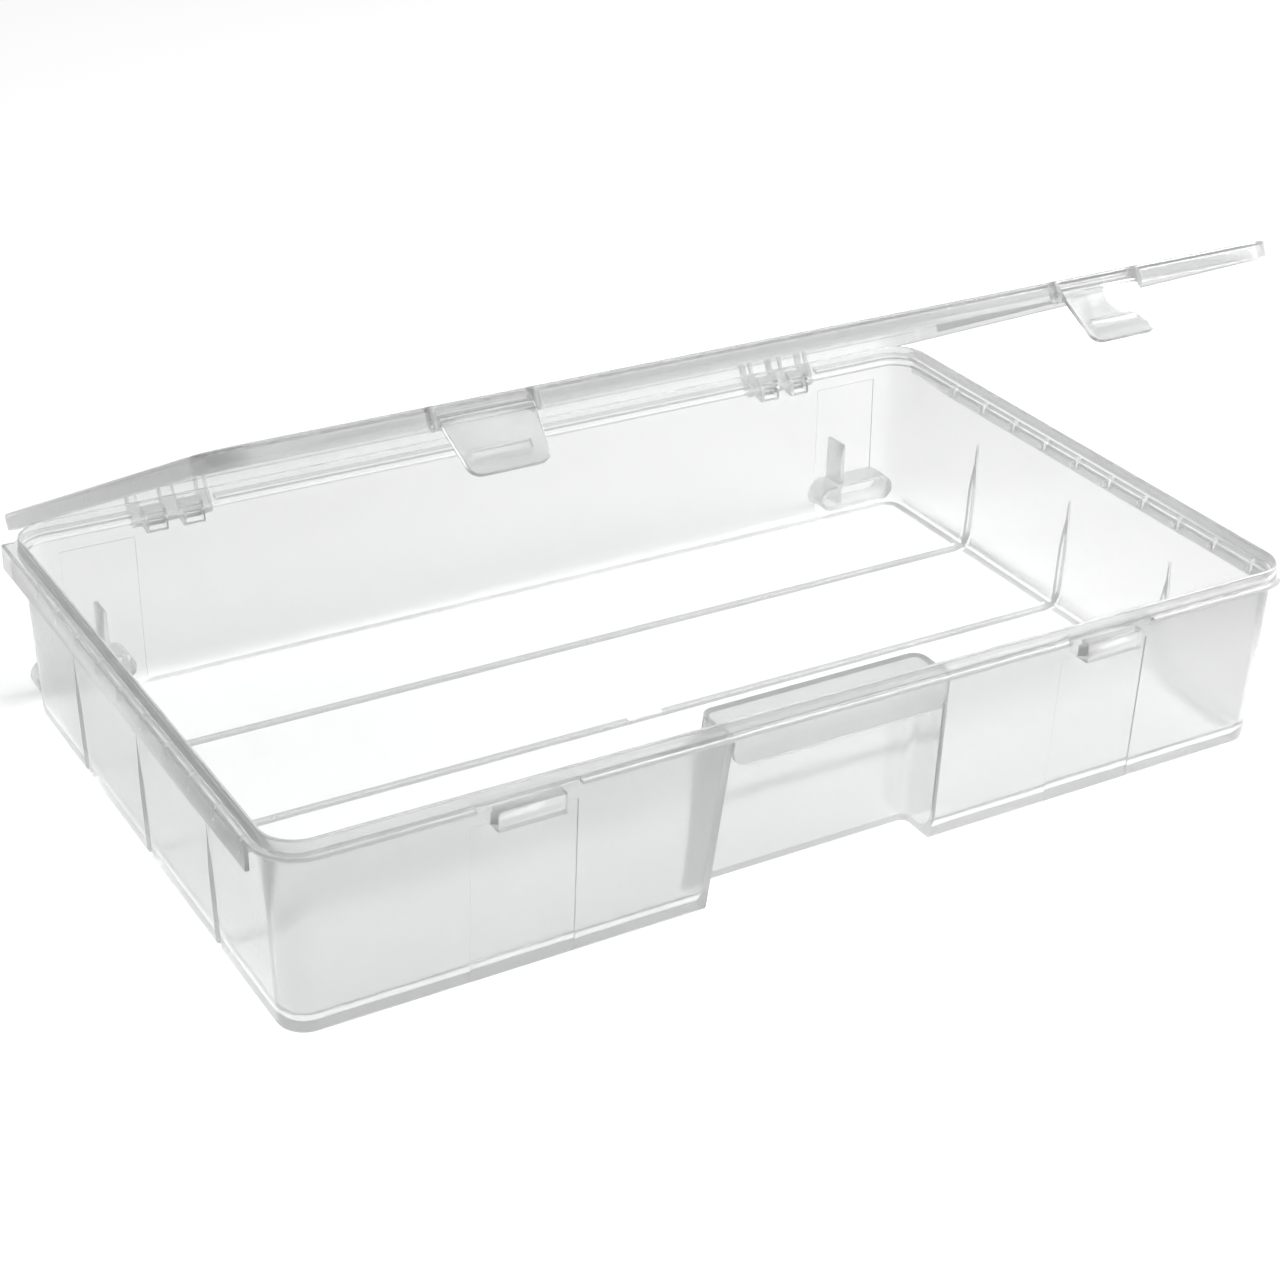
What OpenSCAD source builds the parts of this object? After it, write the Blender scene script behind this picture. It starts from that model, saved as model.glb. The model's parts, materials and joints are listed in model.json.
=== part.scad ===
// Fishing tackle box in clear moulded plastic: a one-piece tray, a one-piece lid
// on two snap hinges, and two snap-on latches. The lid stands part open at rest.
// +Z is up, +X is right seen from the handle side, -Y is the handle side.
// The origin is the middle of the box's floor, on its underside.

/* [Box] */
// Width of the rim over its upright lip
box_w = 359; // [240:1:460]
// Depth of the rim over its upright lip
box_d = 219; // [150:1:300]
// Height from the underside to the top of the lip
box_h = 66; // [45:1:110]
// How far each wall leans in from the rim to the floor
draft = 2; // [1:0.5:6]
// Corner radius of the lip in plan
corner_r = 12; // [8:1:20]
// Thickness of the tray's walls and floor
wall = 1.8; // [1.2:0.1:3]

/* [Rim] */
// Height of the upright lip above the ledge
lip_h = 6; // [4:0.2:10]
// Thickness of the lip
lip_t = 1.4; // [1:0.1:2]
// How far the lip stands out from the wall below it
lip_step = 1; // [0.2:0.1:1.5]
// Thickness of the ledge that carries the lip
ledge_t = 1.6; // [1:0.1:3]
// How far the outside flange stands out from the lip
flange_w = 2.5; // [1.5:0.1:4]
// Thickness of the outside flange
flange_t = 1.4; // [1:0.1:2.5]
// How far the grips on the two sides stand out from the lip
grip_w = 3.4; // [3:0.1:6]
// How far the side grips hang below the ledge
grip_h = 7; // [4:0.5:12]
// Number of small nubs under the ledge on each side wall
nub_n = 10; // [4:1:10]

/* [Dividing ridges] */
// Number of ridges across the floor
ridge_n = 3; // [1:1:5]
// Width of a ridge
ridge_w = 4.4; // [3:0.1:7]
// Height of a ridge inside, and depth of its groove outside
ridge_d = 1.1; // [0.6:0.1:1.4]
// Height that the ridges reach up the side walls
ridge_top = 44; // [25:1:60]

/* [Handle] */
// Width of the finger recess in the front wall
handle_w = 83; // [60:1:120]
// Depth of the finger recess from the front of the lip to the recess wall
handle_d = 17; // [12:1:30]
// How far the left wall of the recess leans in by the time it meets the ledge
handle_lean = 6.6; // [0:0.1:12]
// Height of the pull apron in front of the recess
apron_h = 10.5; // [8:0.5:18]
// Thickness of the pull apron
apron_t = 1.8; // [1.4:0.1:3]

/* [Lid] */
// Thickness of the lid's plate
lid_t = 1.4; // [1.2:0.1:2.5]
// Thickness of the lid's skirt
skirt_t = 1.2; // [1:0.1:2]
// Angle that the lid stands open at rest
lid_angle = 27.4; // [5:0.2:80]

/* [Hinges] */
// Distance from the middle of the box to the middle of each hinge
hinge_x = 122.5; // [70:0.5:125]
// Distance between the two hooks of one hinge
hook_gap = 13.2; // [12.4:0.2:20]
// Width of one hook
hook_w = 7.6; // [5:0.2:9]
// Radius of the lid's hinge rod
rod_r = 1.6; // [1.2:0.1:2]

/* [Latches] */
// Distance from the middle of the box to the middle of each latch
latch_x = 103.5; // [70:0.5:115]
// Width of a latch at its pivot
latch_w = 28; // [20:1:34]
// Length of a latch below its pivot
latch_l = 18.6; // [16:0.2:24]
// Thickness of the latch's plate
latch_t = 1.6; // [1.2:0.1:2]
// Angle that the latches stand out from the lid at rest
latch_angle = 28; // [5:1:60]

/* [Hidden] */
$fn = 48;

// Clearances
skirt_gap = 0.4;      // lip to skirt, and skirt to flange
run_gap = 0.06;       // rod in its hook or barrel, radial
side_gap = 0.5;       // lugs beside hooks and barrels
latch_gap = 0.4;      // latch to keeper, and hook bar under keeper
swing_gap = 0.5;      // turning parts to the wall behind them
bite = 0.2;           // how far joined shapes run into each other
open_up = 0.02;       // cavity past the top of the walls
far = 1000;           // longer than the box

// Levels and half sizes
half_w = box_w / 2;
half_d = box_d / 2;
ledge_z = box_h - lip_h;
flange_z = ledge_z + 0.4;
flange_top = flange_z + flange_t;
floor_r = corner_r - draft + 1;
edge_r = 4;           // rounding between the walls and the floor
panel_d = 0.5;        // depth of the shallow wall panels
panel_top = 6;        // ledge to the top of the panels
front_panel_w = 34;
back_panel_w = 26;
nub_d = 1.6;
nub_h = 3;
apron_r = 5;
gate_r = 7;
grip_t = 1.4;
cell = box_d / 4 + 0.85;      // ridge spacing, a little over a quarter of the depth
nub_pitch = cell / 3;

// Hinge axis, behind the lip and level with the hooks' windows
hook_t = 1.5;
hook_rim = 1;         // block above and below a window
hook_r = rod_r + run_gap + hook_t;
lug_r = rod_r + 1.4;
hinge_y = half_d + swing_gap + lug_r;
hinge_z = ledge_z - 2.3;
window_h = 5.4;
window_w = hook_w - 1;
window_deep = 12;     // reach of a window's cut into the tray
window_web = 1;
lug_t = 3;
hinge_span = hook_gap + hook_w + 2 * (side_gap + lug_t);

// Latch pivot, in front of the lip where the flange is left out
pin_r = 1.1;
barrel_r = pin_r + run_gap + 0.9;
keeper_w = 22;
keeper_h = 7;
keeper_d = 3.6;
keeper_top = ledge_z + 0.2;
keeper_y = -(half_d + keeper_d);
plate_y = keeper_y - latch_gap;
pivot_y = plate_y - latch_t + barrel_r;
pivot_z = keeper_top + 0.6 + barrel_r;
cheek_t = 1.6;
zone_w = latch_w + 2 * (side_gap + cheek_t) + 1;
bar_h = 3;
bar_w = 18;
bar_d = 2.6;
bar_z = keeper_top - keeper_h - latch_gap - bar_h;

// Lid
skirt_z = flange_top + skirt_gap;
lid_z = box_h + skirt_gap;
lid_top = lid_z + lid_t;
lid_half_w = half_w + skirt_gap + skirt_t;
lid_half_d = half_d + skirt_gap + skirt_t;
seal_gap = 0.6;       // lip to the locating rib inside it
seal_t = 1.2;
seal_h = 2.4;
seal_back = 30;       // the rib stops this far from the back, so that the lid can turn
notch_z = pivot_z + barrel_r + swing_gap;

// Feet on the back wall, as deep as the hinges
blade_in = 29;        // middle of a blade to the end of the box
blade_x = half_w - blade_in;
foot_in = 21.5;       // middle of a foot to the end of the box
foot_x = half_w - foot_in;
foot_y = hinge_y + hook_r;
foot_r = 5.6;
foot_w = 34;
foot_t = 1.5;
foot_z = 6.2;
blade_t = 1.6;
blade_h = 29;
foot_root = half_d - draft - wall;
foot_deep = half_d - lip_step - draft + 1.4;

// Flat outline with round corners, drawn half by half from the middle
module plate_outline(hw, hd, r) {
    square([2 * hw, 2 * (hd - r)], center = true);
    square([2 * (hw - r), 2 * hd], center = true);
    for (sx = [-1, 1], sy = [-1, 1]) translate([sx * (hw - r), sy * (hd - r)]) circle(r);
}

// Upright ring that follows the rim, from z to z + h
module rim_ring(z, h, outer, inner) {
    translate([0, 0, z]) linear_extrude(h) difference() {
        plate_outline(half_w + outer, half_d + outer, corner_r + outer);
        plate_outline(half_w + inner, half_d + inner, corner_r + inner);
    }
}

// Block from the walls' outside, set in by inset all round, with a rounded bottom edge
module drafted(inset, z0, z1) {
    e = max(edge_r - inset, 1);
    slab = 0.01;
    top = lip_step + inset;
    low = lip_step + draft + inset;
    hull() {
        translate([0, 0, z1 - slab]) linear_extrude(slab)
            plate_outline(half_w - top, half_d - top, max(corner_r - top, 2), $fn = 32);
        for (a = [0, 30, 60, 90]) translate([0, 0, z0 + e * (1 - sin(a))]) linear_extrude(slab)
            plate_outline(half_w - low - e * (1 - cos(a)), half_d - low - e * (1 - cos(a)),
                max(floor_r - inset - e * (1 - cos(a)), 1), $fn = 32);
    }
}

module ridge_bands() {
    for (i = [0 : ridge_n - 1])
        translate([-far / 2, (i - (ridge_n - 1) / 2) * cell - ridge_w / 2, -far])
            cube([far, ridge_w, far + ridge_top]);
}

function recess_left(z) = -handle_w / 2 + handle_lean * z / ledge_z;

module recess(extra, top) {
    translate([0, -half_d + handle_d + extra, 0]) rotate([90, 0, 0]) linear_extrude(far)
        polygon([[recess_left(-1) - extra, -1], [handle_w / 2 + extra, -1],
            [handle_w / 2 + extra, top], [recess_left(top) - extra, top]]);
}

module wall_panels() {
    for (s = [-1, 1]) {
        translate([s * latch_x - front_panel_w / 2, -far, -far])
            cube([front_panel_w, far, far + ledge_z - panel_top]);
        translate([s * blade_x - back_panel_w / 2, 0, -far])
            cube([back_panel_w, far, far + ledge_z - panel_top]);
    }
}

module cavity() {
    difference() {
        drafted(wall, wall, ledge_z + open_up);
        recess(wall, far);
    }
}

module tray_walls() {
    difference() {
        drafted(0, 0, ledge_z);
        difference() {
            ridge_bands();
            drafted(ridge_d, ridge_d, ledge_z);
        }
        difference() {
            wall_panels();
            drafted(panel_d, 0, ledge_z);
        }
        difference() {
            cavity();
            difference() {
                ridge_bands();
                drafted(wall + ridge_d, wall + ridge_d, ledge_z);
            }
        }
        recess(0, ledge_z - ledge_t);
    }
}

module ledge() {
    difference() {
        rim_ring(ledge_z - ledge_t, ledge_t, 0, -lip_step - wall - draft);
        cavity();
    }
}

// Flat round pad on the underside, across the middle groove
module gate_pad() {
    cylinder(r = gate_r, h = wall);
}

// Lip and flange; the flange stops short of the hinges and the latches
module rim() {
    rim_ring(ledge_z - bite, lip_h + bite, 0, -lip_t);
    difference() {
        rim_ring(flange_z, flange_t, flange_w, -bite);
        for (s = [-1, 1]) {
            translate([s * hinge_x - hinge_span / 2 - 1, half_d, 0]) cube([hinge_span + 2, far, far]);
            translate([s * latch_x - zone_w / 2, -half_d - far, 0]) cube([zone_w, far, far]);
        }
    }
}

// Grip that hangs from the flange along one side, ending in the back corner
module side_grip(s) {
    front = corner_r - half_d;
    back = half_d - corner_r / 4;
    difference() {
        translate([s > 0 ? 0 : -half_w - grip_w, front, ledge_z - grip_h])
            cube([half_w + grip_w, back - front, flange_top - ledge_z + grip_h]);
        translate([0, 0, flange_z]) linear_extrude(flange_t + bite)
            plate_outline(half_w - bite, half_d - bite, corner_r - bite);
        translate([-half_w - grip_w + grip_t, -far, ledge_z - grip_h - bite])
            cube([2 * (half_w + grip_w - grip_t), 2 * far, flange_z - ledge_z + grip_h + bite]);
    }
}

module keeper(s) {
    translate([s * latch_x - keeper_w / 2, keeper_y, keeper_top - keeper_h])
        cube([keeper_w, keeper_d + wall + lip_step, keeper_h]);
}

// One C-shaped hook on its block, open at the back so that the rod snaps in
module hook(x) {
    translate([x - hook_w / 2, 0, 0]) difference() {
        union() {
            translate([0, hinge_y, hinge_z]) rotate([0, 90, 0]) cylinder(r = hook_r, h = hook_w);
            translate([0, half_d - lip_t, hinge_z - window_h / 2 - hook_rim])
                cube([hook_w, hinge_y - half_d + lip_t, window_h + 2 * hook_rim]);
        }
        translate([-bite, hinge_y, hinge_z]) rotate([0, 90, 0])
            cylinder(r = rod_r + run_gap, h = hook_w + 2 * bite);
        translate([-bite, hinge_y, hinge_z - rod_r * 0.8])
            cube([hook_w + 2 * bite, 2 * hook_r, rod_r * 1.6]);
    }
}

// Window through the wall that leaves a thin web in front of the rod
module window(x) {
    translate([x - window_w / 2, half_d - window_deep, hinge_z - window_h / 2])
        cube([window_w, window_deep + hinge_y - half_d - rod_r - run_gap - window_web, window_h]);
}

// Stiff blade and hollow rounded shell, for standing the box on its back
module foot(s) {
    translate([s * blade_x - blade_t / 2, foot_root, foot_z - foot_r])
        cube([blade_t, foot_y - foot_root, blade_h - foot_z + foot_r]);
    difference() {
        translate([s * foot_x, foot_y, foot_z]) rotate([90, 0, 0])
            foot_plug(foot_r, foot_w, foot_y - foot_root);
        translate([s * foot_x, foot_y + bite, foot_z]) rotate([90, 0, 0])
            foot_plug(foot_r - foot_t, foot_w - 2 * foot_t, foot_y + bite - foot_deep);
    }
}

module foot_plug(r, w, h) {
    linear_extrude(h) {
        square([w - 2 * r, 2 * r], center = true);
        for (sx = [-1, 1]) translate([sx * (w / 2 - r), 0]) circle(r);
    }
}

module apron() {
    round_z = ledge_z - apron_h + apron_r;
    x0 = recess_left(round_z) + apron_r;
    x1 = handle_w / 2 - apron_r;
    translate([0, -half_d + apron_t, 0]) rotate([90, 0, 0]) linear_extrude(apron_t) {
        polygon([[recess_left(round_z) - bite, round_z], [handle_w / 2 + bite, round_z],
            [handle_w / 2 + bite, ledge_z], [recess_left(ledge_z) - bite, ledge_z]]);
        translate([x0, ledge_z - apron_h]) square([x1 - x0, apron_r + bite]);
        for (x = [x0, x1]) translate([x, round_z]) circle(apron_r);
    }
}

// Small block under the ledge, on the inside of a side wall
module nub(s, i) {
    x = half_w - lip_step - wall;
    translate([s * (x - nub_d / 4) - nub_d / 2, ((nub_n - 2) / 2 - i) * nub_pitch - nub_d / 2, ledge_z - nub_h])
        cube([nub_d, nub_d, nub_h - bite]);
}

module tray() {
    color([0.88, 0.89, 0.88, 0.55]) difference() {
        union() {
            tray_walls();
            ledge();
            gate_pad();
            rim();
            apron();
            for (s = [-1, 1]) {
                keeper(s);
                foot(s);
                side_grip(s);
                for (t = [-1, 1]) hook(s * hinge_x + t * hook_gap / 2);
                for (i = [0 : nub_n - 1]) nub(s, i);
            }
        }
        for (s = [-1, 1], t = [-1, 1]) window(s * hinge_x + t * hook_gap / 2);
    }
}

module lid_closed() {
    difference() {
        union() {
            translate([0, 0, lid_z]) linear_extrude(lid_t)
                plate_outline(lid_half_w, lid_half_d, corner_r + skirt_gap + skirt_t);
            rim_ring(skirt_z, lid_z - skirt_z + bite, skirt_gap + skirt_t, skirt_gap);
            difference() {
                rim_ring(lid_z - seal_h, seal_h + bite, -lip_t - seal_gap, -lip_t - seal_gap - seal_t);
                translate([-far, half_d - seal_back, 0]) cube([2 * far, far, lid_z]);
            }
        }
        for (s = [-1, 1]) translate([s * latch_x - latch_w / 2 - side_gap, -far, skirt_z - bite])
            cube([latch_w + 2 * side_gap, far - half_d - skirt_gap + bite, notch_z - skirt_z + bite]);
    }
    for (s = [-1, 1]) {
        hinge_lugs(s);
        latch_cheeks(s);
    }
}

// Three lugs and the rod that runs through them
module hinge_lugs(s) {
    reach = (hook_gap + hook_w) / 2 + side_gap;
    mid = hook_gap - hook_w - 2 * side_gap;
    for (x = [-reach - lug_t, -mid / 2, reach]) translate([s * hinge_x + x, 0, 0])
        lug(x == -mid / 2 ? mid : lug_t);
    translate([s * hinge_x - reach - lug_t / 2, hinge_y, hinge_z]) rotate([0, 90, 0])
        cylinder(r = rod_r, h = 2 * reach + lug_t);
}

module lug(t) {
    translate([0, hinge_y, hinge_z]) rotate([0, 90, 0]) cylinder(r = lug_r, h = t);
    translate([0, lid_half_d - skirt_t + bite, hinge_z]) cube([t, hinge_y + lug_r - lid_half_d + skirt_t - bite, lid_top - hinge_z]);
}

// Two cheeks under the front skirt and the pin between them
module latch_cheeks(s) {
    reach = latch_w / 2 + side_gap;
    for (x = [-reach - cheek_t, reach]) translate([s * latch_x + x, 0, 0]) {
        translate([0, pivot_y, pivot_z]) rotate([0, 90, 0]) cylinder(r = barrel_r, h = cheek_t);
        translate([0, pivot_y - barrel_r, pivot_z])
            cube([cheek_t, -lid_half_d + skirt_t - pivot_y + barrel_r, lid_top - pivot_z]);
    }
    translate([s * latch_x - reach - cheek_t / 2, pivot_y, pivot_z]) rotate([0, 90, 0])
        cylinder(r = pin_r, h = 2 * reach + cheek_t);
}

module latch_closed(s) {
    translate([s * latch_x, 0, 0]) {
        difference() {
            union() {
                translate([-latch_w / 2, pivot_y, pivot_z]) rotate([0, 90, 0]) cylinder(r = barrel_r, h = latch_w);
                translate([0, plate_y, 0]) rotate([90, 0, 0]) linear_extrude(latch_t) latch_outline();
            }
            translate([-latch_w / 2 - bite, pivot_y, pivot_z]) rotate([0, 90, 0])
                cylinder(r = pin_r + run_gap, h = latch_w + 2 * bite);
            translate([-latch_w / 2 - bite, pivot_y, pivot_z - pin_r * 0.7])
                cube([latch_w + 2 * bite, 2 * barrel_r, pin_r * 1.4]);
        }
        translate([-bar_w / 2, plate_y - bite, bar_z]) cube([bar_w, bar_d + bite, bar_h]);
    }
}

// The plate narrows below the pivot and ends in two round corners
module latch_outline() {
    r = 4;
    tip = latch_w / 2 - 1.6;
    polygon([[-latch_w / 2, pivot_z], [latch_w / 2, pivot_z], [latch_w / 2, pivot_z - 3],
        [tip, pivot_z - latch_l + r], [-tip, pivot_z - latch_l + r], [-latch_w / 2, pivot_z - 3]]);
    translate([-tip + r, pivot_z - latch_l]) square([2 * (tip - r), r + bite]);
    for (s = [-1, 1]) translate([s * (tip - r), pivot_z - latch_l + r]) circle(r);
}

module open_lid() {
    translate([0, hinge_y, hinge_z]) rotate([-lid_angle, 0, 0]) translate([0, -hinge_y, -hinge_z]) children();
}

module open_latch() {
    translate([0, pivot_y, pivot_z]) rotate([-latch_angle, 0, 0]) translate([0, -pivot_y, -pivot_z]) children();
}

module lid() {
    color([0.86, 0.87, 0.87, 0.5]) open_lid() lid_closed();
}

module latch_left() {
    color([0.84, 0.85, 0.85, 0.6]) open_lid() open_latch() latch_closed(-1);
}

module latch_right() {
    color([0.84, 0.85, 0.85, 0.6]) open_lid() open_latch() latch_closed(1);
}

tray();
lid();
latch_left();
latch_right();
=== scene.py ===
import json
import math
from math import cos, radians, sin

import bmesh
import bpy
from mathutils import Matrix, Vector


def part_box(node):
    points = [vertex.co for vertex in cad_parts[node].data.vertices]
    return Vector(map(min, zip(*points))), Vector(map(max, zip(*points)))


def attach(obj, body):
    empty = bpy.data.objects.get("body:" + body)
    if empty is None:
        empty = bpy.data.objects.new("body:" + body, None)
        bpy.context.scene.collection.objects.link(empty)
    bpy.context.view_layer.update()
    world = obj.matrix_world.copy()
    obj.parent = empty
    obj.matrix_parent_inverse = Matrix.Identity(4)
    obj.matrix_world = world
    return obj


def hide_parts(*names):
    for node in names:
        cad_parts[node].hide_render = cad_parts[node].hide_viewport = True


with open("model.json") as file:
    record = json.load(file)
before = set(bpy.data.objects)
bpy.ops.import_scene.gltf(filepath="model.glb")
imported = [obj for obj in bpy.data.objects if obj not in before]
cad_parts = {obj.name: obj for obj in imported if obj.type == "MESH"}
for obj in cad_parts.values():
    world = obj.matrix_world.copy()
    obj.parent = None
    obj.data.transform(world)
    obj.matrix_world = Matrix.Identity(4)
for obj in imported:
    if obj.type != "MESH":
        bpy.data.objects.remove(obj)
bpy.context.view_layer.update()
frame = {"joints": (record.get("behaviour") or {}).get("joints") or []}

# Camera. It looks down on the front left of the box from a little under a metre, turned slightly
# on its own axis. Angles in degrees, lengths in metres.
azimuth, elevation, roll = radians(-31.76), radians(28.54), radians(1.84)
distance = 0.9256
target = Vector((0.0365, 0.0383, 0.0))

camera_data = bpy.data.cameras.new("camera")
camera_data.lens = 73.0
camera_data.sensor_width = 36.0
camera_data.shift_x = -0.0318
camera_data.shift_y = 0.0071
camera = bpy.data.objects.new("camera", camera_data)
bpy.context.scene.collection.objects.link(camera)
back = Vector((sin(azimuth) * cos(elevation), -cos(azimuth) * cos(elevation), sin(elevation)))
level_right = Vector((cos(azimuth), sin(azimuth), 0))
level_up = back.cross(level_right)
right = level_right * cos(roll) + level_up * sin(roll)
up = level_up * cos(roll) - level_right * sin(roll)
aim = Matrix((right, up, back)).transposed().to_4x4()
camera.matrix_world = Matrix.Translation(target + back * distance) @ aim
bpy.context.scene.camera = camera

# Studio. A white sweep of floor under a wide soft key from the right and front, and a plain
# surround that is grey on the left and lighter on the right, which the clear plastic picks up.
floor_size, floor_drop = 25.0, -0.0003
key_power, key_spread = 2.3, radians(50)
key_from = Vector((0.45, -0.3, 1.0))
side_power, side_size = 6.0, 0.4
side_place, side_aim = Vector((0.75, -0.1, 0.65)), Vector((0.1, 0, 0))
surround_left, surround_right = 0.08, 0.5
bpy.context.scene.view_settings.view_transform = "Standard"

world = bpy.data.worlds.new("surround")
bpy.context.scene.world = world
world.use_nodes = True
world_nodes, world_links = world.node_tree.nodes, world.node_tree.links
toward = world_nodes.new("ShaderNodeTexCoord")
sideways = world_nodes.new("ShaderNodeSeparateXYZ")
world_links.new(toward.outputs["Generated"], sideways.inputs[0])
shade = world_nodes.new("ShaderNodeMapRange")
shade.inputs["From Min"].default_value = -1
shade.inputs["To Min"].default_value = surround_left
shade.inputs["To Max"].default_value = surround_right
world_links.new(sideways.outputs["X"], shade.inputs["Value"])
world_links.new(shade.outputs["Result"], world_nodes["Background"].inputs["Strength"])
world_nodes["Background"].inputs["Color"].default_value = (1.0, 1.0, 1.0, 1)

key_data = bpy.data.lights.new("key", "SUN")
key_data.energy, key_data.angle = key_power, key_spread
key = bpy.data.objects.new("key", key_data)
bpy.context.scene.collection.objects.link(key)
key.rotation_euler = key_from.to_track_quat("Z", "Y").to_euler()

side_data = bpy.data.lights.new("side", "AREA")
side_data.energy, side_data.size = side_power, side_size
side = bpy.data.objects.new("side", side_data)
bpy.context.scene.collection.objects.link(side)
side.location = side_place
side.rotation_euler = (side_place - side_aim).to_track_quat("Z", "Y").to_euler()

floor_mesh = bpy.data.meshes.new("floor")
floor_corners = [(x * floor_size, y * floor_size, floor_drop)
                 for x, y in ((-1, -1), (1, -1), (1, 1), (-1, 1))]
floor_mesh.from_pydata(floor_corners, [], [(0, 1, 2, 3)])
floor = bpy.data.objects.new("floor", floor_mesh)
bpy.context.scene.collection.objects.link(floor)
floor_paper = bpy.data.materials.new("floor_paper")
floor_paper.use_nodes = True
paper = floor_paper.node_tree.nodes["Principled BSDF"]
paper.inputs["Base Color"].default_value = (0.93, 0.93, 0.93, 1)
paper.inputs["Roughness"].default_value = 0.9
paper.inputs["Specular IOR Level"].default_value = 0.1
floor_mesh.materials.append(floor_paper)

# Tray shell. One injection moulding in clear polypropylene: drafted walls on a flat floor, a ledge
# round the top with an upright lip on it, and a thin flange outside the lip. Millimetres, taken
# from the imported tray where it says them.
tray_lo, tray_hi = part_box("tray")
grip_w = 3.4
keeper_d = 3.6
half_w = tray_hi.x * 1000 - grip_w
half_d = -tray_lo.y * 1000 - keeper_d
box_h = tray_hi.z * 1000
lip_h, lip_t, lip_step = 6.0, 1.4, 1.0
ledge_z = box_h - lip_h
ledge_t, wall, draft = 1.6, 1.8, 2.0
corner_r = 12.0
flange_z, flange_t, flange_w = ledge_z + 0.4, 1.4, 2.5
bottom_r, floor_fillet = 1.6, 7.0
under_ledge, on_flange = ledge_z - ledge_t, flange_z + flange_t
ease, flange_round = 0.3, 0.45
flange_fillet, flange_fillet_mid = 0.35, 0.1
lip_fillet, lip_fillet_mid = 0.5, 0.15


def rounded(hx, hy, r, steps=12):
    """Points of a rectangle with round corners, anticlockwise from the front left corner."""
    points = []
    for quarter, (sx, sy) in enumerate(((-1, -1), (1, -1), (1, 1), (-1, 1))):
        for k in range(steps + 1):
            a = math.pi + (quarter + k / steps) * math.pi / 2
            points.append((sx * (hx - r) + r * cos(a), sy * (hy - r) + r * sin(a)))
    return points


def ring(off, z):
    """The rim's outline, moved out by off, at height z."""
    return [(x, y, z) for x, y in rounded(half_w + off, half_d + off, corner_r + off)]


def skin(name, rings):
    """A closed mesh through rings of points in millimetres, with flat caps."""
    n = len(rings[0])
    faces = [tuple(reversed(range(n))), tuple(range(n * (len(rings) - 1), n * len(rings)))]
    for i in range(len(rings) - 1):
        for j in range(n):
            k = (j + 1) % n
            faces.append((i * n + j, i * n + k, (i + 1) * n + k, (i + 1) * n + j))
    mesh = bpy.data.meshes.new(name)
    mesh.from_pydata([Vector(p) * 0.001 for r in rings for p in r], [], faces)
    bm = bmesh.new()
    bm.from_mesh(mesh)
    bmesh.ops.remove_doubles(bm, verts=bm.verts, dist=1e-7)
    bmesh.ops.recalc_face_normals(bm, faces=bm.faces)
    bm.to_mesh(mesh)
    bm.free()
    piece = bpy.data.objects.new(name, mesh)
    bpy.context.scene.collection.objects.link(piece)
    return piece


def wall_off(z):
    """How far the wall's outside stands in from the lip at height z."""
    return -lip_step - draft * (1 - z / ledge_z)


def turned(r, steps=4):
    """Steps round a quarter circle of radius r: how far in, how far up."""
    quarter = [math.pi / 2 * k / steps for k in range(steps + 1)]
    return [(r * (1 - sin(a)), r * (1 - cos(a))) for a in quarter]


rings = [ring(wall_off(z) - i, z) for i, z in turned(bottom_r)]
rings += [ring(wall_off(z), z) for z in (ledge_z * 0.5, under_ledge - ease)]
rings += [ring(-lip_step + ease, under_ledge), ring(-ease, under_ledge), ring(0, under_ledge + ease)]
rings += [ring(0, flange_z - 0.2), ring(0.2, flange_z)]
half_turn = [math.pi * k / 8 for k in range(9)]
flange_end = [(flange_round * sin(a), flange_t / 2 - flange_t / 2 * cos(a)) for a in half_turn]
rings += [ring(flange_w - flange_round + out, flange_z + rise) for out, rise in flange_end]
rings += [ring(flange_fillet, on_flange), ring(flange_fillet_mid, on_flange + flange_fillet_mid)]
rings += [ring(0, on_flange + flange_fillet)]
lip_end = [(-lip_t / 2 * (1 - cos(a)), lip_t / 2 * sin(a)) for a in half_turn]
rings += [ring(out, box_h - lip_t / 2 + rise) for out, rise in lip_end]
rings += [ring(-lip_t, ledge_z + lip_fillet), ring(-lip_t - lip_fillet_mid, ledge_z + lip_fillet_mid)]
rings += [ring(-lip_t - lip_fillet, ledge_z)]
tray = skin("tray_shell", rings)

rings = [ring(wall_off(z) - wall - i, z + wall) for i, z in turned(floor_fillet, 8)]
rings += [ring(wall_off(z) - wall, z) for z in (ledge_z * 0.5, ledge_z - 0.4)]
rings += [ring(-lip_step - wall + 0.12, ledge_z - 0.12), ring(-lip_step - wall + 0.4, ledge_z + 0.02)]
cavity = skin("cavity", rings)


# Finger recess and pull apron. The front wall steps in behind a roof at ledge height, its left
# side leaning in towards the top, and a thin apron with round lower corners hangs from the
# roof's front edge, to pull the box by.
handle_w, handle_d, handle_lean = 83.0, 17.0, 6.6
apron_h, apron_t, apron_r = 10.5, 1.8, 5.0
recess_r = 2.5
past, spare, bite = 20, 5, 0.3
soften_over = 0.6


def prism(name, outline, start, end, axis="z", soften=0.0):
    """An outline pushed along an axis from start to end, with its edges softened."""
    order = {
        "x": lambda a, b, c: (c, a, b),
        "y": lambda a, b, c: (a, c, b),
        "z": lambda a, b, c: (a, b, c),
    }[axis]
    piece = skin(name, [[order(a, b, c) for a, b in outline] for c in (start, end)])
    if soften:
        bm = bmesh.new()
        bm.from_mesh(piece.data)
        edges = [e for e in bm.edges if e.calc_face_angle(0) > soften_over]
        bmesh.ops.bevel(bm, geom=edges, offset=soften * 0.001, segments=2, profile=0.5, affect="EDGES",
                        clamp_overlap=True)
        bm.to_mesh(piece.data)
        bm.free()
    return piece


def box_outline(x0, x1, y0, y1):
    return [(x0, y0), (x1, y0), (x1, y1), (x0, y1)]


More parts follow.
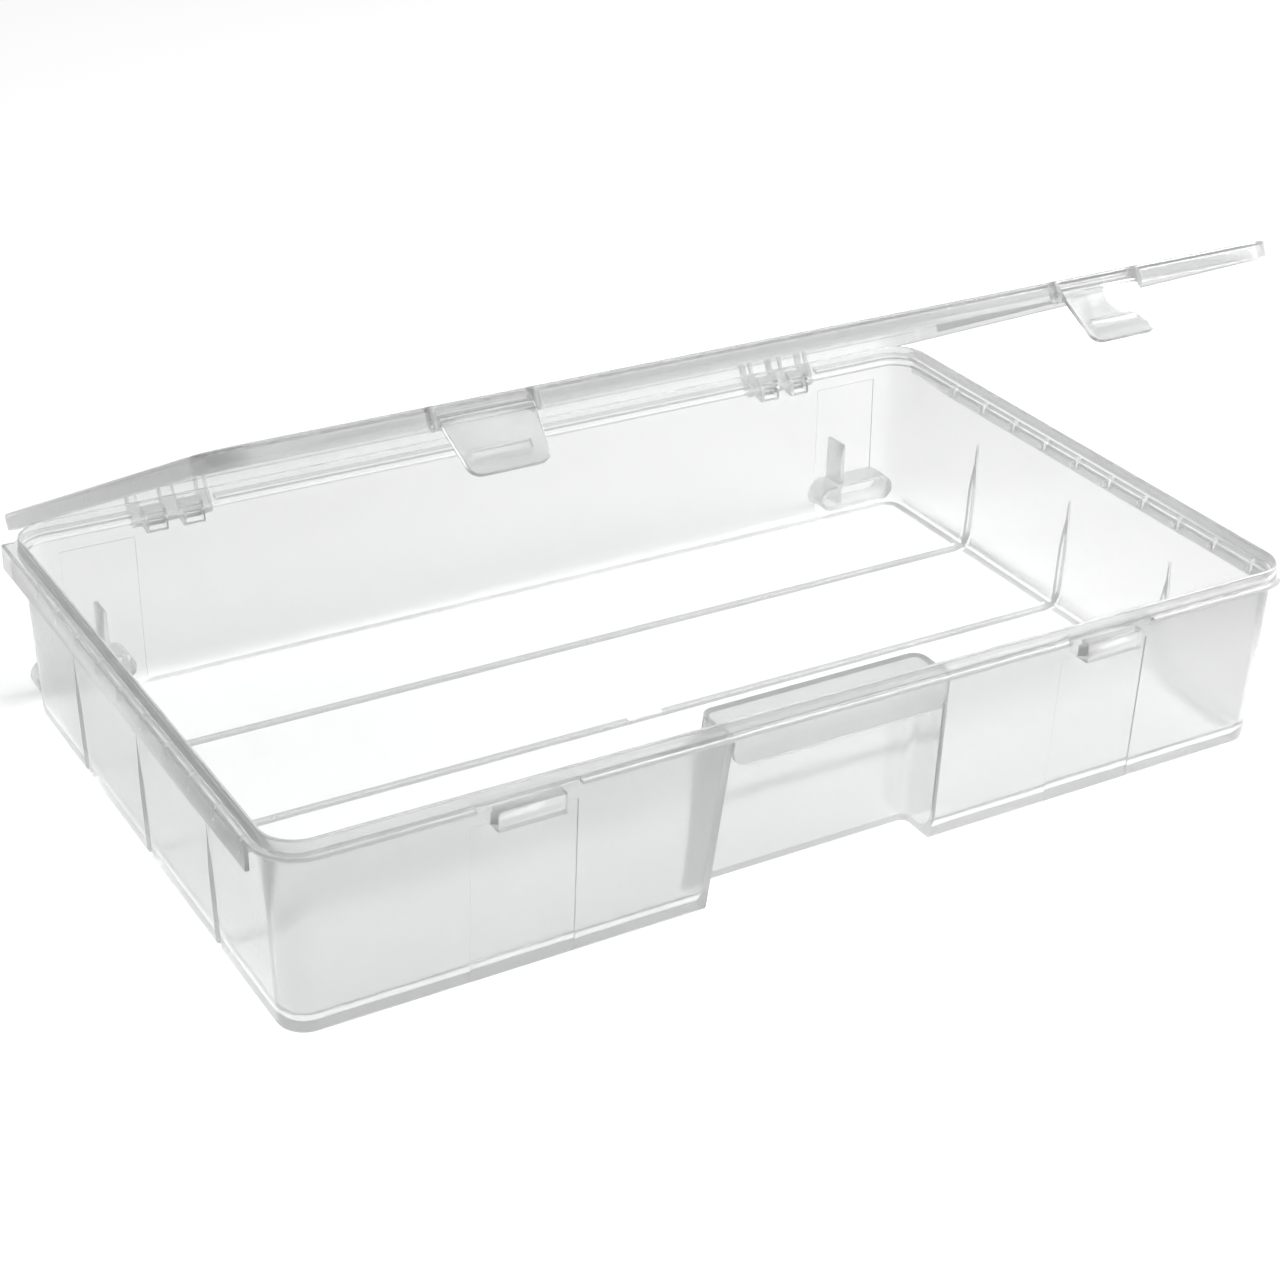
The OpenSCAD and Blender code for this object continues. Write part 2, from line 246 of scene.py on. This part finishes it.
def arc(cx, cy, r, start, end, steps=8):
    return [(cx + r * cos(a), cy + r * sin(a))
            for a in (radians(start + (end - start) * k / steps) for k in range(steps + 1))]


def recess_left(z):
    return -handle_w / 2 + handle_lean * z / ledge_z


def recess_block(name, extra, low, high):
    """Solid as big as the recess, grown by extra: open to the front, round at the two back corners."""
    rings = []
    for z in (low, high):
        x0, x1 = recess_left(z) - extra, handle_w / 2 + extra
        y, r = -half_d + handle_d + extra, recess_r + extra
        outline = ([(x0, -half_d - past), (x1, -half_d - past)] + arc(x1 - r, y - r, r, 0, 90)
                   + arc(x0 + r, y - r, r, 90, 180))
        rings.append([(px, py, z) for px, py in outline])
    return skin(name, rings)


def build(piece, joined=(), cut=()):
    """Joins and cuts solids, and leaves one plain mesh."""
    for kind, others in (("UNION", joined), ("DIFFERENCE", cut)):
        for other in others:
            step = piece.modifiers.new(kind, "BOOLEAN")
            step.operation, step.object, step.solver = kind, other, "EXACT"
    bpy.context.view_layer.update()
    mesh = bpy.data.meshes.new_from_object(piece.evaluated_get(bpy.context.evaluated_depsgraph_get()))
    piece.modifiers.clear()
    piece.data = mesh
    for other in (*joined, *cut):
        bpy.data.objects.remove(other)
    return piece


build(cavity, cut=[recess_block("recess_room", wall, -spare, box_h + spare)])
round_z = ledge_z - apron_h + apron_r
apron_outline = ([(handle_w / 2 + bite, ledge_z - 1), (recess_left(ledge_z) - bite, ledge_z - 1)]
                 + [(recess_left(round_z) - bite, round_z)]
                 + arc(recess_left(round_z) + apron_r, round_z, apron_r, 180, 270)
                 + arc(handle_w / 2 - apron_r, round_z, apron_r, 270, 360)
                 + [(handle_w / 2 + bite, round_z)])
apron = prism("apron", apron_outline, -half_d, -half_d + apron_t, "y", 0.35)
build(tray, cut=[cavity, recess_block("recess", 0, -spare, under_ledge)])
build(tray, joined=[apron])

# Dividing ridges. Three ribs cross the floor and run up both side walls, narrowing to a point;
# outside, each is a matching groove, so the wall keeps one thickness. A round pad fills the
# middle groove where the plastic enters the mould.
ridge_w, ridge_d, ridge_top = 4.4, 1.1, 44.0
ridge_pitch = half_d / 2 + 0.85
taper_from, thinnest = 26.0, 0.04
gate_r = 7.0


def contour(off, low, fillet):
    """Half of the cross-section of the walls from the left top to the middle: x, z and inward normal."""
    points = []
    for k in range(8):
        z = ridge_top - (ridge_top - low - fillet) * k / 8
        points.append((-(half_w + wall_off(z) + off), z, 1.0, 0.0))
    foot_x = -(half_w + wall_off(low) + off) + fillet
    for k in range(7):
        a = math.pi / 2 * k / 6
        points.append((foot_x - fillet * cos(a), low + fillet * (1 - sin(a)), cos(a), sin(a)))
    points += [(foot_x + (0 - foot_x) * k / 3, low, 0.0, 1.0) for k in (1, 2, 3)]
    return points


def ridge_bar(name, y, off, low, fillet, under, over):
    """A bar along the contour with a rounded top, from under below the surface to over above it."""
    half = contour(off, low, fillet)
    whole = half + [(-x, z, -nx, nz) for x, z, nx, nz in reversed(half[:-1])]
    rings = []
    for x, z, nx, nz in whole:
        size = min(1.0, max(thinnest, (ridge_top - z) / (ridge_top - taper_from)))
        w, top = ridge_w / 2 * size, over * size ** 0.5
        profile = [(-w, -under), (w, -under), (w, 0)]
        profile += [(w * (0.82 - 0.1 * k), top * s) for k, s in enumerate((0.75, 0.95, 1.0))]
        profile += [(-w * (0.82 - 0.1 * k), top * s) for k, s in reversed(list(enumerate((0.75, 0.95, 1.0))))]
        profile += [(-w, 0)]
        rings.append([(x + nx * b, y + a, z + nz * b) for a, b in profile])
    return skin(name, rings)


ridge_ys = [ridge_pitch * i for i in (-1, 0, 1)]
build(tray,
      joined=[ridge_bar("rib", y, -wall, wall, floor_fillet, 0.5, ridge_d) for y in ridge_ys],
      cut=[ridge_bar("groove", y, 0, 0, bottom_r, 0.5, ridge_d) for y in ridge_ys])
build(tray, joined=[prism("gate_pad", arc(0, 0, gate_r, 0, 350, 35), 0, wall)])

# Hinge hooks and windows. Two C-shaped hooks for each hinge stand behind the lip, open at the back
# so that the lid's rod snaps in, and each has a moulding window through the wall in front of it.
hinge = Vector(next(j for j in frame["joints"] if j["name"] == "lid_hinge")["pos_m"]) * 1000
hinge_x, hook_gap, hook_w = 122.5, 13.2, 7.6
rod_r, run_gap, hook_t = 1.6, 0.06, 1.5
hook_r, bore_r = rod_r + run_gap + hook_t, rod_r + run_gap
window_h, window_w, window_deep = 5.4, 6.6, 12.0
slot_h = rod_r * 0.8
lugs_w = 27.8
latch_x, latch_zone = 103.5, 33.2
gap_clear, gap_past, gap_over = 0.02, 9, 0.6


def hook_outline():
    """Side view of a hook, from its root on the lip round to the mouth at the back."""
    y, z = hinge.y, hinge.z
    low, high = z - window_h / 2 - 1, z + window_h / 2 + 1
    out, inn = math.degrees(math.asin(slot_h / hook_r)), math.degrees(math.asin(slot_h / bore_r))
    under = arc(y, z, hook_r, -90, -out, 8)
    inside = arc(y, z, bore_r, -inn, inn - 360, 24)
    above = arc(y, z, hook_r, out, 90, 8)
    return ([(half_d - lip_t, low), (y, low)] + under + inside + above
            + [(y, high), (half_d - lip_t, high)])


hook_xs = [s * hinge_x + t * hook_gap / 2 for s in (-1, 1) for t in (-1, 1)]
hooks = [prism("hook", hook_outline(), x - hook_w / 2, x + hook_w / 2, "x", 0.2) for x in hook_xs]

def window(x):
    """Cutter for the moulding window in front of a hook."""
    outline = box_outline(x - window_w / 2, x + window_w / 2, half_d - window_deep, hinge.y - bore_r - 1)
    return prism("window", outline, hinge.z - window_h / 2, hinge.z + window_h / 2)


def flange_gap(x, reach, y0, y1):
    """Cutter for a gap in the flange, reaching as far to both sides of x."""
    outline = box_outline(x - reach, x + reach, y0, y1)
    return prism("gap", outline, flange_z - 0.1, on_flange + gap_over)


windows = [window(x) for x in hook_xs]
flange_gaps = [flange_gap(s * hinge_x, lugs_w / 2 + 1, half_d + gap_clear, half_d + gap_past)
               for s in (-1, 1)]
flange_gaps += [flange_gap(s * latch_x, latch_zone / 2, -half_d - gap_past, -half_d - gap_clear)
                for s in (-1, 1)]
build(tray, cut=flange_gaps)
build(tray, joined=hooks)
build(tray, cut=windows)

# Latch keepers, wall panels, side grips and feet. All are part of the same moulding: blocks for the
# latches to hook under, shallow flat panels, grips under the flange on both sides, and at the
# back a stiff blade and a hollow foot by each corner, so that the box can stand on its back.
keeper_w, keeper_h, keeper_top = 22.0, 7.0, ledge_z + 0.2
panel_d, panel_top = 0.5, ledge_z - 6
front_panel_w, back_panel_w = 34.0, 26.0
grip_h, grip_t = 7.0, 1.4
blade_x, blade_t, blade_h = half_w - 29, 1.6, 29.0
foot_x, foot_w, foot_r, foot_z, foot_t = half_w - 21.5, 34.0, 5.6, 6.2, 1.5
foot_y = tray_hi.y * 1000
foot_root = half_d - draft - wall
foot_deep = half_d - lip_step - draft + 1.4

keepers = []
for s in (-1, 1):
    outline = box_outline(s * latch_x - keeper_w / 2, s * latch_x + keeper_w / 2,
                          -half_d - keeper_d, -half_d + lip_step + 1)
    keepers.append(prism("keeper", outline, keeper_top - keeper_h, keeper_top, "z", 0.4))


def panel(x, w, side):
    """Cutter for a shallow panel whose floor follows the drafted wall."""
    rings = []
    far = half_d + spare
    for z in (-1, panel_top):
        y = half_d + wall_off(max(z, 0)) - panel_d
        rings.append([(x - w / 2, side * y, z), (x + w / 2, side * y, z), (x + w / 2, side * far, z),
                      (x - w / 2, side * far, z)])
    return skin("panel", rings)


panels = [panel(s * latch_x, front_panel_w, -1) for s in (-1, 1)]
panels += [panel(s * blade_x, back_panel_w, 1) for s in (-1, 1)]

grip_root, grip_out, grip_low = half_w - bite, half_w + grip_w, ledge_z - grip_h
grip_outline = [(grip_root, flange_z), (grip_out - grip_t, flange_z), (grip_out - grip_t, grip_low),
                (grip_out, grip_low), (grip_out, on_flange), (grip_root, on_flange)]
grip_front, grip_back = corner_r - half_d, half_d - corner_r / 4
ear_turn = math.degrees(math.asin((grip_back - half_d + corner_r) / (corner_r - bite)))
ear_outline = (arc(half_w - corner_r, half_d - corner_r, corner_r - bite, ear_turn, 0)
               + [(grip_out - 0.4, half_d - corner_r), (grip_out - 0.4, grip_back)])
grips = []
for s in (-1, 1):
    grips.append(prism("grip", [(s * x, z) for x, z in grip_outline], grip_front, grip_back, "y", 0.3))
    ear = [(s * x, y) for x, y in ear_outline]
    grips.append(prism("ear", ear, flange_z + 0.01, on_flange - 0.01))


def slot_outline(x, z, w, r, steps=10):
    """A slot w wide with round ends of radius r, about x, z."""
    return arc(x + w / 2 - r, z, r, -90, 90, steps) + arc(x - w / 2 + r, z, r, 90, 270, steps)


feet = []
for s in (-1, 1):
    outer = [(foot_r, foot_root), (foot_r, foot_y - 0.4)]
    outer += [(foot_r - 0.12, foot_y - 0.12), (foot_r - 0.4, foot_y)]
    inner = [(foot_r - foot_t + 0.3, foot_y), (foot_r - foot_t, foot_y - 0.3), (foot_r - foot_t, foot_deep)]
    rings = [[(px, y, pz) for px, pz in slot_outline(s * foot_x, foot_z, foot_w - 2 * (foot_r - r), r)]
             for r, y in outer + inner]
    feet.append(skin("foot", rings))
blades = [prism("blade", box_outline(s * blade_x - blade_t / 2, s * blade_x + blade_t / 2, foot_root, foot_y),
                foot_z - foot_r + 0.2, blade_h, "z", 0.3) for s in (-1, 1)]
build(tray, cut=panels)
build(tray, joined=keepers + grips)
build(tray, joined=feet)
build(tray, joined=blades)

# Nubs and gussets. Ten small nubs stand in a row along the inside of each side wall, where loose
# dividers click in, and a small gusset ties the side grip to the wall behind each of them.
nub_n = 10
nub_pitch = (half_d / 2 + ridge_d - 0.25) / 3
nub_d, nub_along, nub_h = 1.6, 1.6, 2.8
nub_x, nub_z = half_w - lip_step - wall - nub_d / 2 + 0.4, ledge_z - 1.7
gusset_d, gusset_along, gusset_h = grip_w + 1.2, 1.5, 4.6
gusset_x, gusset_z = half_w + 0.4, flange_z - gusset_h / 2 + 0.3


def rows_of_blocks(name):
    """A tree that stands a row of equal blocks along y on both sides of the middle."""
    tree = bpy.data.node_groups.new(name, "GeometryNodeTree")
    tree.interface.new_socket("Geometry", in_out="OUTPUT", socket_type="NodeSocketGeometry")
    inputs = (("Count", "NodeSocketInt"), ("Pitch", "NodeSocketFloat"), ("Middle", "NodeSocketVector"),
              ("Block", "NodeSocketVector"), ("Plastic", "NodeSocketMaterial"))
    for label, kind in inputs:
        tree.interface.new_socket(label, in_out="INPUT", socket_type=kind)
    nodes, links = tree.nodes, tree.links
    given, result = nodes.new("NodeGroupInput"), nodes.new("NodeGroupOutput")
    steps = nodes.new("ShaderNodeMath")
    steps.operation = "SUBTRACT"
    steps.inputs[1].default_value = 1
    links.new(given.outputs["Count"], steps.inputs[0])
    reach = nodes.new("ShaderNodeMath")
    reach.operation = "MULTIPLY"
    links.new(steps.outputs[0], reach.inputs[0])
    links.new(given.outputs["Pitch"], reach.inputs[1])
    half = nodes.new("ShaderNodeMath")
    half.operation = "MULTIPLY"
    half.inputs[1].default_value = -0.5
    links.new(reach.outputs[0], half.inputs[0])
    block = nodes.new("GeometryNodeMeshCube")
    links.new(given.outputs["Block"], block.inputs["Size"])
    join = nodes.new("GeometryNodeJoinGeometry")
    offset = nodes.new("ShaderNodeCombineXYZ")
    links.new(given.outputs["Pitch"], offset.inputs["Y"])
    first = nodes.new("ShaderNodeCombineXYZ")
    links.new(half.outputs[0], first.inputs["Y"])
    for side in (-1, 1):
        place = nodes.new("ShaderNodeVectorMath")
        place.operation = "MULTIPLY_ADD"
        place.inputs[1].default_value = (side, 1, 1)
        links.new(given.outputs["Middle"], place.inputs[0])
        links.new(first.outputs[0], place.inputs[2])
        line = nodes.new("GeometryNodeMeshLine")
        links.new(given.outputs["Count"], line.inputs["Count"])
        links.new(place.outputs[0], line.inputs["Start Location"])
        links.new(offset.outputs[0], line.inputs["Offset"])
        row = nodes.new("GeometryNodeInstanceOnPoints")
        links.new(line.outputs["Mesh"], row.inputs["Points"])
        links.new(block.outputs["Mesh"], row.inputs["Instance"])
        links.new(row.outputs["Instances"], join.inputs["Geometry"])
    real = nodes.new("GeometryNodeRealizeInstances")
    links.new(join.outputs["Geometry"], real.inputs["Geometry"])
    plastic = nodes.new("GeometryNodeSetMaterial")
    links.new(real.outputs["Geometry"], plastic.inputs["Geometry"])
    links.new(given.outputs["Plastic"], plastic.inputs["Material"])
    links.new(plastic.outputs["Geometry"], result.inputs["Geometry"])
    return tree


block_rows = rows_of_blocks("block_rows")


def block_row(name, middle, block, plastic):
    """Both rows of blocks as one plain mesh; sizes in millimetres."""
    piece = bpy.data.objects.new(name, bpy.data.meshes.new(name))
    bpy.context.scene.collection.objects.link(piece)
    rows = piece.modifiers.new("rows", "NODES")
    rows.node_group = block_rows
    values = {"Count": nub_n, "Pitch": nub_pitch / 1000, "Middle": [v / 1000 for v in middle],
              "Block": [v / 1000 for v in block], "Plastic": plastic}
    for item in block_rows.interface.items_tree:
        if item.in_out == "INPUT":
            rows[item.identifier] = values[item.name]
    bpy.context.view_layer.update()
    mesh = bpy.data.meshes.new_from_object(piece.evaluated_get(bpy.context.evaluated_depsgraph_get()))
    piece.modifiers.clear()
    piece.data = mesh
    return piece


nub_middle, nub_block = (nub_x, -nub_pitch * 0.5, nub_z), (nub_d, nub_along, nub_h)
gusset_middle = (gusset_x, -nub_pitch * 0.5, gusset_z)
gusset_block = (gusset_d, gusset_along, gusset_h)
build(tray, joined=[block_row("nubs", nub_middle, nub_block, None)])
build(tray, joined=[block_row("gussets", gusset_middle, gusset_block, None)])
weld, crease = 2e-6, radians(28)


def finish_mesh(piece, name, plastic):
    """Welds what booleans leave, shades smooth except over real edges, and gives the plastic."""
    bm = bmesh.new()
    bm.from_mesh(piece.data)
    bmesh.ops.remove_doubles(bm, verts=bm.verts, dist=weld)
    bmesh.ops.dissolve_degenerate(bm, dist=weld, edges=bm.edges)
    bmesh.ops.triangulate(bm, faces=[f for f in bm.faces if len(f.verts) > 4])
    for f in bm.faces:
        f.smooth = True
    for e in bm.edges:
        e.smooth = e.calc_face_angle(0) < crease
    bm.to_mesh(piece.data)
    bm.free()
    piece.name = piece.data.name = name
    piece.data.materials.clear()
    piece.data.materials.append(plastic)


def clear_plastic(name, tint_and_shade, milk, grain):
    """Clear moulded polypropylene: slightly milky, with a fine frosted skin and faint flow marks. The tint is
    the plastic's own tone, darkened with painted shade for the lid and latches.
    """
    material = bpy.data.materials.new(name)
    material.use_nodes = True
    nodes, links = material.node_tree.nodes, material.node_tree.links
    shader = nodes["Principled BSDF"]
    shader.inputs["Base Color"].default_value = (*tint_and_shade, 1)
    shader.inputs["IOR"].default_value = 1.49
    shader.inputs["Transmission Weight"].default_value = 1 - milk
    place = nodes.new("ShaderNodeTexCoord")
    frost = nodes.new("ShaderNodeTexNoise")
    frost.inputs["Scale"].default_value = grain
    frost.inputs["Detail"].default_value = 4
    links.new(place.outputs["Object"], frost.inputs["Vector"])
    flow = nodes.new("ShaderNodeTexNoise")
    flow.inputs["Scale"].default_value = 9
    flow.inputs["Detail"].default_value = 3
    flow.inputs["Distortion"].default_value = 0.8
    links.new(place.outputs["Object"], flow.inputs["Vector"])
    rough = nodes.new("ShaderNodeMapRange")
    rough.inputs["From Min"].default_value = 0.3
    rough.inputs["From Max"].default_value = 0.7
    rough.inputs["To Min"].default_value = 0.07
    rough.inputs["To Max"].default_value = 0.15
    links.new(flow.outputs["Fac"], rough.inputs["Value"])
    links.new(rough.outputs["Result"], shader.inputs["Roughness"])
    bump = nodes.new("ShaderNodeBump")
    bump.inputs["Strength"].default_value = 0.12
    bump.inputs["Distance"].default_value = 0.0004
    links.new(frost.outputs["Fac"], bump.inputs["Height"])
    links.new(bump.outputs["Normal"], shader.inputs["Normal"])
    lamp = nodes.new("ShaderNodeBsdfTransparent")
    lamp.inputs["Color"].default_value = (0.92, 0.925, 0.925, 1)
    path = nodes.new("ShaderNodeLightPath")
    lets_light = nodes.new("ShaderNodeMixShader")
    links.new(path.outputs["Is Shadow Ray"], lets_light.inputs["Fac"])
    links.new(shader.outputs["BSDF"], lets_light.inputs[1])
    links.new(lamp.outputs["BSDF"], lets_light.inputs[2])
    links.new(lets_light.outputs["Shader"], nodes["Material Output"].inputs["Surface"])
    return material


tray_plastic = clear_plastic("tray_polypropylene", tint_and_shade=(0.775, 0.778, 0.776), milk=0.2, grain=900)
finish_mesh(tray, "tray_shell", tray_plastic)
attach(tray, "tray")
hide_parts("tray")

# Lid. A flat plate of the same plastic with a skirt all round and a locating rib under it that
# drops inside the tray's lip. Moulded with it are three lugs and a rod for each hinge, and two
# cheeks and a pin for each latch. It stands open; its mesh is made shut, then turned.
lid_z, lid_t, skirt_gap, skirt_t = box_h + 0.4, 1.4, 0.4, 1.2
lid_top = lid_z + lid_t
skirt_off = skirt_gap + skirt_t
skirt_z = on_flange + 0.4
lid_edge = 0.9
seal_z, seal_out, seal_in, seal_back = lid_z - 2.4, -lip_t - 0.6, -lip_t - 1.8, 30.0
lid_angle = radians(27.4)
lug_r, lug_t, lug_gap = 3.0, 3.0, 0.5
latch_w, latch_gap = 28.0, 0.5
pivot_y, pivot_z, barrel_r, pin_r = -113.04, 62.86, 2.06, 1.1
cheek_t, cheek_reach = 1.6, latch_w / 2 + latch_gap
notch_z = pivot_z + barrel_r + 0.5

rings = [ring(skirt_gap - i, lid_z - 0.5 + u) for i, u in ((0.6, 0.5), (0.2, 0.38), (0, 0))]
rings += [ring(skirt_off - skirt_t / 2 - skirt_t / 2 * cos(a), skirt_z + skirt_t / 2 * (1 - sin(a)))
          for a in half_turn]
edge_turn = [math.pi / 2 * k / 5 for k in range(6)]
rings += [ring(skirt_off - lid_edge * (1 - cos(a)), lid_top - lid_edge + lid_edge * sin(a))
          for a in edge_turn]
lid = skin("lid_shell", rings)


def rim_block(name, off, low, high, soften=0.0):
    """A block with the rim's outline, moved out by off."""
    outline = rounded(half_w + off, half_d + off, corner_r + off)
    return prism(name, outline, low, high, "z", soften)


seal = rim_block("seal", seal_out, seal_z, lid_z + 0.4, 0.25)
seal_room = rim_block("seal_room", seal_in, seal_z - 1, lid_z + 0.2)
back_outline = box_outline(-half_w, half_w, half_d - seal_back, half_d + gap_past)
back_room = prism("back_room", back_outline, seal_z - 2, lid_z + 2)
build(seal, cut=[seal_room, back_room])
notches = []
for s in (-1, 1):
    outline = box_outline(s * latch_x - cheek_reach, s * latch_x + cheek_reach,
                          -half_d - past, -half_d - skirt_gap + 0.1)
    notches.append(prism("notch", outline, skirt_z - 1, notch_z))
build(lid, joined=[seal], cut=notches)


def half_round(y, z, r, inner_y, top, soft=0.8):
    """Profile of a lug or cheek: round underneath, square at the top, joined to the lid."""
    outer = 1 if inner_y < y else -1
    low = arc(y, z, r, 180, 360, 12) if outer > 0 else arc(y, z, r, 360, 180, 12)
    edge = y + outer * r
    shoulder = [(edge, top - soft), (edge - outer * soft * 0.3, top - soft * 0.3), (edge - outer * soft, top)]
    return low + shoulder + [(inner_y, top), (inner_y, z)]


def rod(name, x, half_length, y, z, r):
    """A round bar along x with softened ends."""
    circle = arc(y, z, r, 0, 345, 23)
    return prism(name, circle, x - half_length, x + half_length, "x", 0.15)


lugs_reach = (hook_gap + hook_w) / 2 + lug_gap
lug_mid = hook_gap - hook_w - 2 * lug_gap
lug_spans = ((-lugs_reach - lug_t, -lugs_reach), (-lug_mid / 2, lug_mid / 2),
             (lugs_reach, lugs_reach + lug_t))
details = []
for s in (-1, 1):
    lug = half_round(hinge.y, hinge.z, lug_r, half_d + skirt_gap + bite, lid_top - 0.05)
    for x0, x1 in lug_spans:
        details.append(prism("lug", lug, s * hinge_x + x0, s * hinge_x + x1, "x", 0.2))
    details.append(rod("hinge_rod", s * hinge_x, lugs_reach + lug_t / 2, hinge.y, hinge.z, rod_r))
    cheek = half_round(pivot_y, pivot_z, barrel_r, -half_d - skirt_gap - bite, lid_top - 0.05)
    for side in (-1, 1):
        x0 = s * latch_x + side * cheek_reach
        x_low, x_high = sorted((x0, x0 + side * cheek_t))
        details.append(prism("cheek", cheek, x_low, x_high, "x", 0.2))
    details.append(rod("latch_pin", s * latch_x, cheek_reach + cheek_t / 2, pivot_y, pivot_z, pin_r))
for detail in details:
    build(lid, joined=[detail])


def turn(piece, angle, y, z):
    """Turns a mesh about a line along x."""
    place = Matrix.Translation((0, y / 1000, z / 1000))
    piece.data.transform(place @ Matrix.Rotation(-angle, 4, "X") @ place.inverted())


turn(lid, lid_angle, hinge.y, hinge.z)
# The lid is the same plastic as the tray; its darker tint is painted shade for the greyer look the lid has.
lid_plastic_painted_shade = clear_plastic("lid_polypropylene_painted_shade", tint_and_shade=(0.74, 0.745, 0.743), milk=0.2, grain=700)
finish_mesh(lid, "lid_shell", lid_plastic_painted_shade)
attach(lid, "lid")
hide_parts("lid")

# Latches. Two clip-on plates of the same plastic. Each has a C-shaped barrel along its top that
# snaps over the lid's pin, and a bar across its inside that catches under the tray's keeper.
latch_l, latch_t, latch_r, latch_taper, shoulder = 18.6, 1.6, 4.0, 1.6, 3.0
plate_y = pivot_y - barrel_r + latch_t
latch_run = 0.06
bar_w, bar_d, bar_h, bar_z = 18.0, 3.0, 3.0, 49.8
latch_angle = radians(28)
# The latches are the same plastic as the tray; their darker tint is painted shade for how grey they look.
latch_plastic_painted_shade = clear_plastic("latch_polypropylene_painted_shade", tint_and_shade=(0.61, 0.615, 0.613), milk=0.2, grain=800)

for name, s in (("latch_left", -1), ("latch_right", 1)):
    x, half = s * latch_x, latch_w / 2
    tip, foot = half - latch_taper, pivot_z - latch_l
    plate = ([(x + half, pivot_z), (x - half, pivot_z), (x - half, pivot_z - shoulder)]
             + arc(x - tip + latch_r, foot + latch_r, latch_r, 180, 270)
             + arc(x + tip - latch_r, foot + latch_r, latch_r, 270, 360)
             + [(x + half, pivot_z - shoulder)])
    latch = prism(name, plate, plate_y - latch_t, plate_y, "y", 0.3)
    barrel_outline = arc(pivot_y, pivot_z, barrel_r, 0, 350, 35)
    barrel = prism("barrel", barrel_outline, x - half, x + half, "x", 0.15)
    bore_outline = arc(pivot_y, pivot_z, pin_r + latch_run, 0, 345, 23)
    bore = prism("bore", bore_outline, x - latch_w, x + latch_w, "x")
    mouth_outline = box_outline(x - latch_w, x + latch_w, pivot_y, pivot_y + 2 * barrel_r)
    mouth = prism("mouth", mouth_outline, pivot_z - pin_r * 0.7, pivot_z + pin_r * 0.7)
    bar_outline = box_outline(x - bar_w / 2, x + bar_w / 2, plate_y - 0.2, plate_y + bar_d)
    bar = prism("bar", bar_outline, bar_z, bar_z + bar_h, "z", 0.4)
    build(latch, joined=[barrel, bar], cut=[bore, mouth])
    turn(latch, latch_angle, pivot_y, pivot_z)
    turn(latch, lid_angle, hinge.y, hinge.z)
    finish_mesh(latch, name + "_clip", latch_plastic_painted_shade)
    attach(latch, name)
    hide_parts(name)
